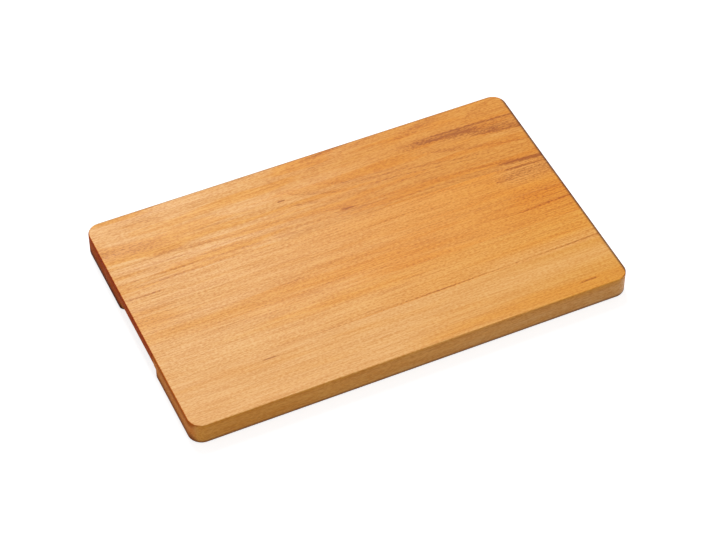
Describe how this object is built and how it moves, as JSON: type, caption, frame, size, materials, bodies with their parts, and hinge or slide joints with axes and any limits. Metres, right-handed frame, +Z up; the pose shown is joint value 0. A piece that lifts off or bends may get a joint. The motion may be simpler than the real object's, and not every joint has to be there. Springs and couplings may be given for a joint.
{
  "type": "cutting board",
  "caption": "Flat rectangular wooden cutting board glued up from lengthwise beech staves, with rounded corners and edges and a finger grip under each short end.",
  "frame": {"origin": "middle of the underside, on the surface that the board lies on", "axes": "+X along the grain and the long side, +Y to the far long edge, +Z up out of the cutting face"},
  "size_m": [0.39, 0.24, 0.021],
  "materials": {
    "beech": "oiled, satin",
    "wood_glue": "cured and sanded flush"
  },
  "bodies": {
    "root": {"stave_1": "beech", "stave_2": "beech", "stave_3": "beech", "stave_4": "beech", "stave_5": "beech", "stave_6": "beech", "glue_line_1": "wood_glue", "glue_line_2": "wood_glue", "glue_line_3": "wood_glue", "glue_line_4": "wood_glue", "glue_line_5": "wood_glue"}
  },
  "joints": []
}
